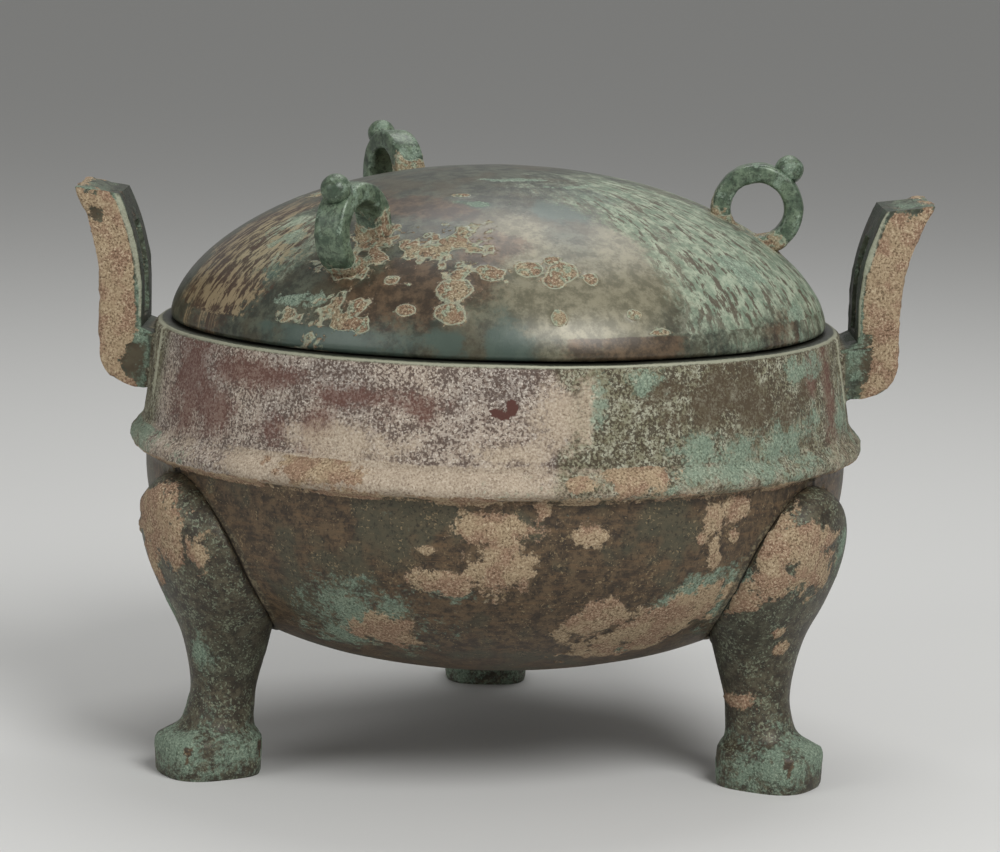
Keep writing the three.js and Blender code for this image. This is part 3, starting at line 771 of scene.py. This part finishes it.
blister_places = [(-84, 78.5, 3.6, 2.8, 0), (-77.5, 79.5, 4.6, 3.6, 0), (-79.5, 83, 3.2, 2.4, 0), (-79, 75, 2.4, 1.6, 0), (-79.5, 94.5, 2.2, 2.2, 0),
                  (-62, 100.5, 3.4, 2.4, 0), (-72.5, 82, 2, 2.4, 0), (-98, 86.5, 4.4, 4.0, 0), (-98, 94, 4.2, 3.2, 0), (-106, 93.5, 2.6, 1.8, 0),
                  (-66, 94, 2, 1.4, 0), (-58, 104, 3.2, 2.0, 0), (84, 66, 4, 3, 0), (70, 78, 3, 3, 0), (140, 60, 3.4, 2.6, 0), (35, 96, 4, 3, 0)]
blister = spots(turn, -slope_down, radius, [(a, -s, w, h, t) for a, s, w, h, t in blister_places]) + 0.22 * rough(points, 2.6, 107)
# Painted sheen: a paler olive-grey on the front of the dome, with one more patch at the back
painted_sheen_places = [(-74, 92, 26, 24, 0), (-60, 76, 16, 20, 0), (-86, 66, 10, 16, 0), (110, 90, 30, 18, 0)]
painted_sheen = spots(turn, -slope_down, radius, [(a, -s, w, h, t) for a, s, w, h, t in painted_sheen_places]) + 0.4 * rough(points, 16, 109)
brown_places = [(-106, 88, 20, 12, 0), (-92, 70, 8, 8, 0), (-33, 103, 12, 6, 0), (-150, 92, 16, 14, 0), (-40, 60, 14, 12, 0), (-118, 50, 20, 8, 0),
                (30, 100, 20, 8, 0), (120, 60, 22, 16, 0), (-68, 108, 14, 3, 0)]
brown = spots(turn, -slope_down, radius, [(a, -s, w, h, t) for a, s, w, h, t in brown_places]) + 0.5 * rough(points, 8, 111)
teal_places = [(-88, 104, 6, 9, 0), (-98, 104, 6, 5, 0), (-118, 106, 20, 6, 0), (-99, 46, 5, 3, 0), (-72, 50, 8, 8, 0), (-50, 44, 10, 8, 0), (-140, 84, 5, 8, 0)]
teal = spots(turn, -slope_down, radius, [(a, -s, w, h, t) for a, s, w, h, t in teal_places]) + 0.5 * rough(points, 6, 113)
flecks = rough(down_scale, (1.7, 1.7, 7), 115, 4)
down_slope = down_scale * MM
fresh_places = [(-98, 46, 8, 2, 0), (-127, 93, 9, 2.6, 0), (-141, 72, 8, 4, 30), (-92, 24, 12, 2, 0), (-56, 32, 9, 2, 0), (-35, 82, 10, 8, 0), (-25, 100, 8, 8, 0)]
verdigris = spots(turn, -slope_down, radius, [(a, -s, w, h, t) for a, s, w, h, t in fresh_places]) + 0.75 * rough(points, 4.4, 117)

# The rings: green and blue-grey bands, with sandy crust where they meet the dome
foot_gap = np.abs(z - dome_at)
ring_crust = np.where(on_ring, 0.45 - foot_gap / 7 + 0.7 * rough(points, 3.2, 121), -1)
front_ring, rear_ring = y < -40, y > 40
ring_crust += np.where(on_ring & rear_ring, 0.55, 0) + np.where(on_ring & front_ring, 0.22, 0)
ring_foot = np.where(on_dome, 0, 0)
for azimuth, out, height in rings:
    u, v, w = stood(points, -azimuth).T
    near = np.hypot(np.abs(np.hypot(u - out, w - height) - 10) / 3.0, v / 6.5)
    ring_crust = np.where(on_dome, np.maximum(ring_crust, 1.0 - 0.62 * near + 0.5 * rough(points, 3.0, 123) - 0.25), ring_crust)

crust = np.maximum(np.where(on_dome, np.maximum(tan - 0.08, blister), -1), ring_crust)
relief = 0.1 * lumps(points, 26, 131) + 0.05 * lumps(points, 8, 132)
grain = 0.5 + 0.5 * lumps(points, 1.4, 133)
crusty = ramp(np.where(on_ring, ring_crust, crust), 0.0, 0.25)
relief += crusty * (0.12 + 0.2 * grain)
relief += np.where(on_dome, ramp(blister, -0.1, 0.2) * 0.18, 0)
relief += np.where(on_dome, 0.1 * ramp(streaked, -0.1, 0.3) * ramp(flecks, -0.3, 0.2), 0)
relief += np.where(on_ring, 0.14 * rough(points, 3.0, 135) + 0.25 * ramp(ring_crust, 0, 0.5) * lumps(points, 2.0, 136), 0)
relief = np.where(inside, 0.1 * lumps(points, 16, 138), relief)
relief *= ramp(z, lid_edge, lid_edge + 1.0)
points = points + normals * relief[:, None]

lid = finished_piece("lid_bronze_casting", lid_mesh, points, {
    "streaked": np.where(on_dome, streaked, -1), "tan_streaks": np.where(on_dome, tan_streaks, -1), "crust": crust, "blister": np.where(on_dome, blister, -1),
    "painted_sheen": np.where(on_dome, painted_sheen, -1), "brown": np.where(on_dome, brown, -1), "teal": np.where(on_dome, teal, -1), "flecks": flecks, "down slope": down_slope,
    "verdigris": np.where(on_ring, 0.05 + 0.6 * rough(points, 3, 141), verdigris), "ring": on_ring.astype(float), "inside": inside.astype(float),
})
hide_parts("lid")
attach(lid, "root")

lid_skin = bpy.data.materials.new("buried bronze, smooth patina")
lid_skin.use_nodes = True
tree = lid_skin.node_tree
tree.nodes.clear()
place = add(tree, "TexCoord").outputs["Object"]
broad = noise(tree, place, 18, 3, 0.55)
mottle = noise(tree, place, 4.0, 8, 0.75)
fine = noise(tree, place, 1.2, 5, 0.75)
colour = over(tree, between(tree, mottle, 0.4, 0.6), paint(48, 52, 43), paint(82, 86, 72))
colour = over(tree, calc(tree, "MULTIPLY", between(tree, broad, 0.48, 0.62), 0.6), colour, paint(76, 68, 50))
colour = over(tree, calc(tree, "MULTIPLY", between(tree, fine, 0.52, 0.62), 0.5), colour, paint(50, 44, 33))
# Painted sheen: paler olive-grey laid over the dark patina
painted_sheen_mask = placed(tree, ragged_edge, Field=layer_of(tree, "painted_sheen"), Place=place, Spread=0.6, Softness=0.5)["Mask"]
colour = over(tree, calc(tree, "MULTIPLY", painted_sheen_mask, 0.85), colour, over(tree, between(tree, mottle, 0.4, 0.6), paint(98, 94, 74), paint(132, 126, 104)))
teal_mask = placed(tree, ragged_edge, Field=layer_of(tree, "teal"), Place=place, Spread=1.1, Softness=0.35)["Mask"]
colour = over(tree, calc(tree, "MULTIPLY", teal_mask, 0.8), colour, paint(66, 82, 74))
brown_mask = placed(tree, ragged_edge, Field=layer_of(tree, "brown"), Place=place, Spread=1.2, Softness=0.3)["Mask"]
colour = over(tree, calc(tree, "MULTIPLY", brown_mask, 0.8), colour, over(tree, between(tree, mottle, 0.42, 0.62), paint(58, 44, 32), paint(96, 74, 54)))

# Turquoise to the right, broken by dark flecks that run down the slope
streak_mask = placed(tree, ragged_edge, Field=layer_of(tree, "streaked"), Place=place, Spread=1.8, Softness=0.5)["Mask"]
streak_green = over(tree, between(tree, mottle, 0.42, 0.6), paint(112, 128, 108), paint(158, 168, 146))
colour = over(tree, calc(tree, "MULTIPLY", streak_mask, 0.9), colour, streak_green)
down = add(tree, "Attribute", {"attribute_name": "down slope"}).outputs["Vector"]
long_grain = noise(tree, add(tree, "Mapping", {"vector_type": "POINT"}, Vector=down, Scale=(1, 1, 0.26)).outputs[0], 1.5, 4, 0.7)
fleck_mask = between(tree, long_grain, 0.51, 0.57)
colour = over(tree, calc(tree, "MULTIPLY", calc(tree, "MULTIPLY", fleck_mask, streak_mask), 0.85), colour, paint(70, 54, 40))
tan_streak_mask = placed(tree, ragged_edge, Field=layer_of(tree, "tan_streaks"), Place=place, Spread=1.4, Softness=0.15)["Mask"]
tan_flecks = between(tree, long_grain, 0.46, 0.53)
colour = over(tree, calc(tree, "MULTIPLY", tan_streak_mask, 0.8), colour, over(tree, tan_flecks, paint(148, 132, 102), paint(66, 47, 34)))

# Rings of the handles, verdigris, sandy crusts and the blisters with their pale rims
ring_green = over(tree, between(tree, mottle, 0.4, 0.6), paint(60, 76, 60), paint(104, 120, 98))
ring_green = over(tree, calc(tree, "MULTIPLY", between(tree, fine, 0.5, 0.6), 0.7), ring_green, paint(46, 54, 42))
colour = over(tree, layer_of(tree, "ring"), colour, ring_green)
green_mask = placed(tree, ragged_edge, Field=calc(tree, "SUBTRACT", layer_of(tree, "verdigris"), 0.3), Place=place, Spread=1.6, Softness=0.12)["Mask"]
green_crust = placed(tree, granular, Place=place, Body=paint(120, 140, 122), Grain=paint(180, 194, 172), Pit=paint(70, 86, 70))
colour = over(tree, calc(tree, "MULTIPLY", green_mask, 0.6), colour, green_crust["Color"])
crust_field = layer_of(tree, "crust")
sand_mask = placed(tree, ragged_edge, Field=crust_field, Place=place, Spread=1.9, Softness=0.12)["Mask"]
sand_tone = over(tree, between(tree, noise(tree, place, 5, 3, 0.6), 0.42, 0.58), paint(140, 124, 96), paint(124, 96, 72))
sand_tone = over(tree, between(tree, noise(tree, place, 2.4, 3, 0.6), 0.52, 0.62), sand_tone, paint(126, 138, 116))
sand_crust = placed(tree, granular, Place=place, Body=sand_tone, Grain=paint(190, 180, 154), Pit=paint(70, 58, 44))
colour = over(tree, calc(tree, "MULTIPLY", sand_mask, 0.88), colour, sand_crust["Color"])
rim = calc(tree, "SUBTRACT", 1, between(tree, calc(tree, "ABSOLUTE", calc(tree, "SUBTRACT", crust_field, 0.02)), 0.03, 0.1))
colour = over(tree, calc(tree, "MULTIPLY", rim, 0.5), colour, paint(166, 172, 148))

covered = calc(tree, "MAXIMUM", sand_mask, calc(tree, "MULTIPLY", calc(tree, "MAXIMUM", green_mask, streak_mask), 0.6))
height = calc(tree, "ADD", calc(tree, "MULTIPLY", sand_crust["Height"], covered), calc(tree, "MULTIPLY", mottle, 0.3))
bump = add(tree, "Bump", Strength=0.6, Distance=0.35 * MM, Height=height).outputs[0]
roughness = add(tree, "MapRange", Value=covered, To_Min=0.36, To_Max=0.8).outputs[0]
bare = calc(tree, "MULTIPLY", calc(tree, "SUBTRACT", 1, covered), 0.12)
surface = add(tree, "BsdfPrincipled", Base_Color=colour, Roughness=roughness, Metallic=bare, Normal=bump)
add(tree, "OutputMaterial", Surface=surface.outputs[0])
lid_mesh.materials.clear()
lid_mesh.materials.append(lid_skin)

# ---------------------------------------------------------------------------------------------
# The studio: a plain pale floor, a large soft lamp above and to the right, and weaker ones round it.
# ---------------------------------------------------------------------------------------------

floor_mesh = bpy.data.meshes.new("floor")
floor_mesh.from_pydata([(-40, -40, 0), (40, -40, 0), (40, 40, 0), (-40, 40, 0)], [], [(0, 1, 2, 3)])
floor = bpy.data.objects.new("floor", floor_mesh)
bpy.context.collection.objects.link(floor)
floor_paint = bpy.data.materials.new("pale floor")
floor_paint.use_nodes = True
floor_surface = floor_paint.node_tree.nodes["Principled BSDF"]
floor_surface.inputs["Base Color"].default_value = paint(205, 205, 203)
floor_surface.inputs["Roughness"].default_value = 0.9
floor_mesh.materials.append(floor_paint)


def lamp(name, position, aim, size, watts):
    light = bpy.data.lights.new(name, "AREA")
    light.shape, light.size, light.energy = "DISK", size, watts
    stand = bpy.data.objects.new(name, light)
    stand.location = position
    stand.rotation_euler = (Vector(aim) - Vector(position)).to_track_quat("-Z", "Y").to_euler()
    bpy.context.collection.objects.link(stand)


lamp("key", (0.55, -0.95, 1.05), (0, 0, 0.08), 0.7, 15)
lamp("fill", (-1.0, -0.8, 0.6), (0, 0, 0.08), 0.8, 4)
lamp("top", (0.1, 0.5, 1.1), (0, 0, 0.1), 0.8, 5)
sky = bpy.data.worlds.new("studio")
sky.use_nodes = True
sky.node_tree.nodes["Background"].inputs["Color"].default_value = (0.84, 0.84, 0.83, 1)
sky.node_tree.nodes["Background"].inputs["Strength"].default_value = 0.35
bpy.context.scene.world = sky

camera_distance, camera_lift, camera_roll, aim = 1.061, math.radians(8.44), math.radians(1.31), Vector((0.0012, 0, 0.0902))
back = Vector((0, -math.cos(camera_lift), math.sin(camera_lift)))
right = Vector((1, 0, 0))
up = back.cross(right)
turned_right = right * math.cos(camera_roll) + up * math.sin(camera_roll)
turned_up = up * math.cos(camera_roll) - right * math.sin(camera_roll)
camera = bpy.data.objects.new("camera", bpy.data.cameras.new("camera"))
camera.data.lens = 136.2
frame_of_camera = Matrix((turned_right, turned_up, back)).transposed().to_4x4()
camera.matrix_world = Matrix.Translation(aim + back * camera_distance) @ frame_of_camera
bpy.context.collection.objects.link(camera)
bpy.context.scene.camera = camera
bpy.context.scene.view_settings.view_transform = "Standard"
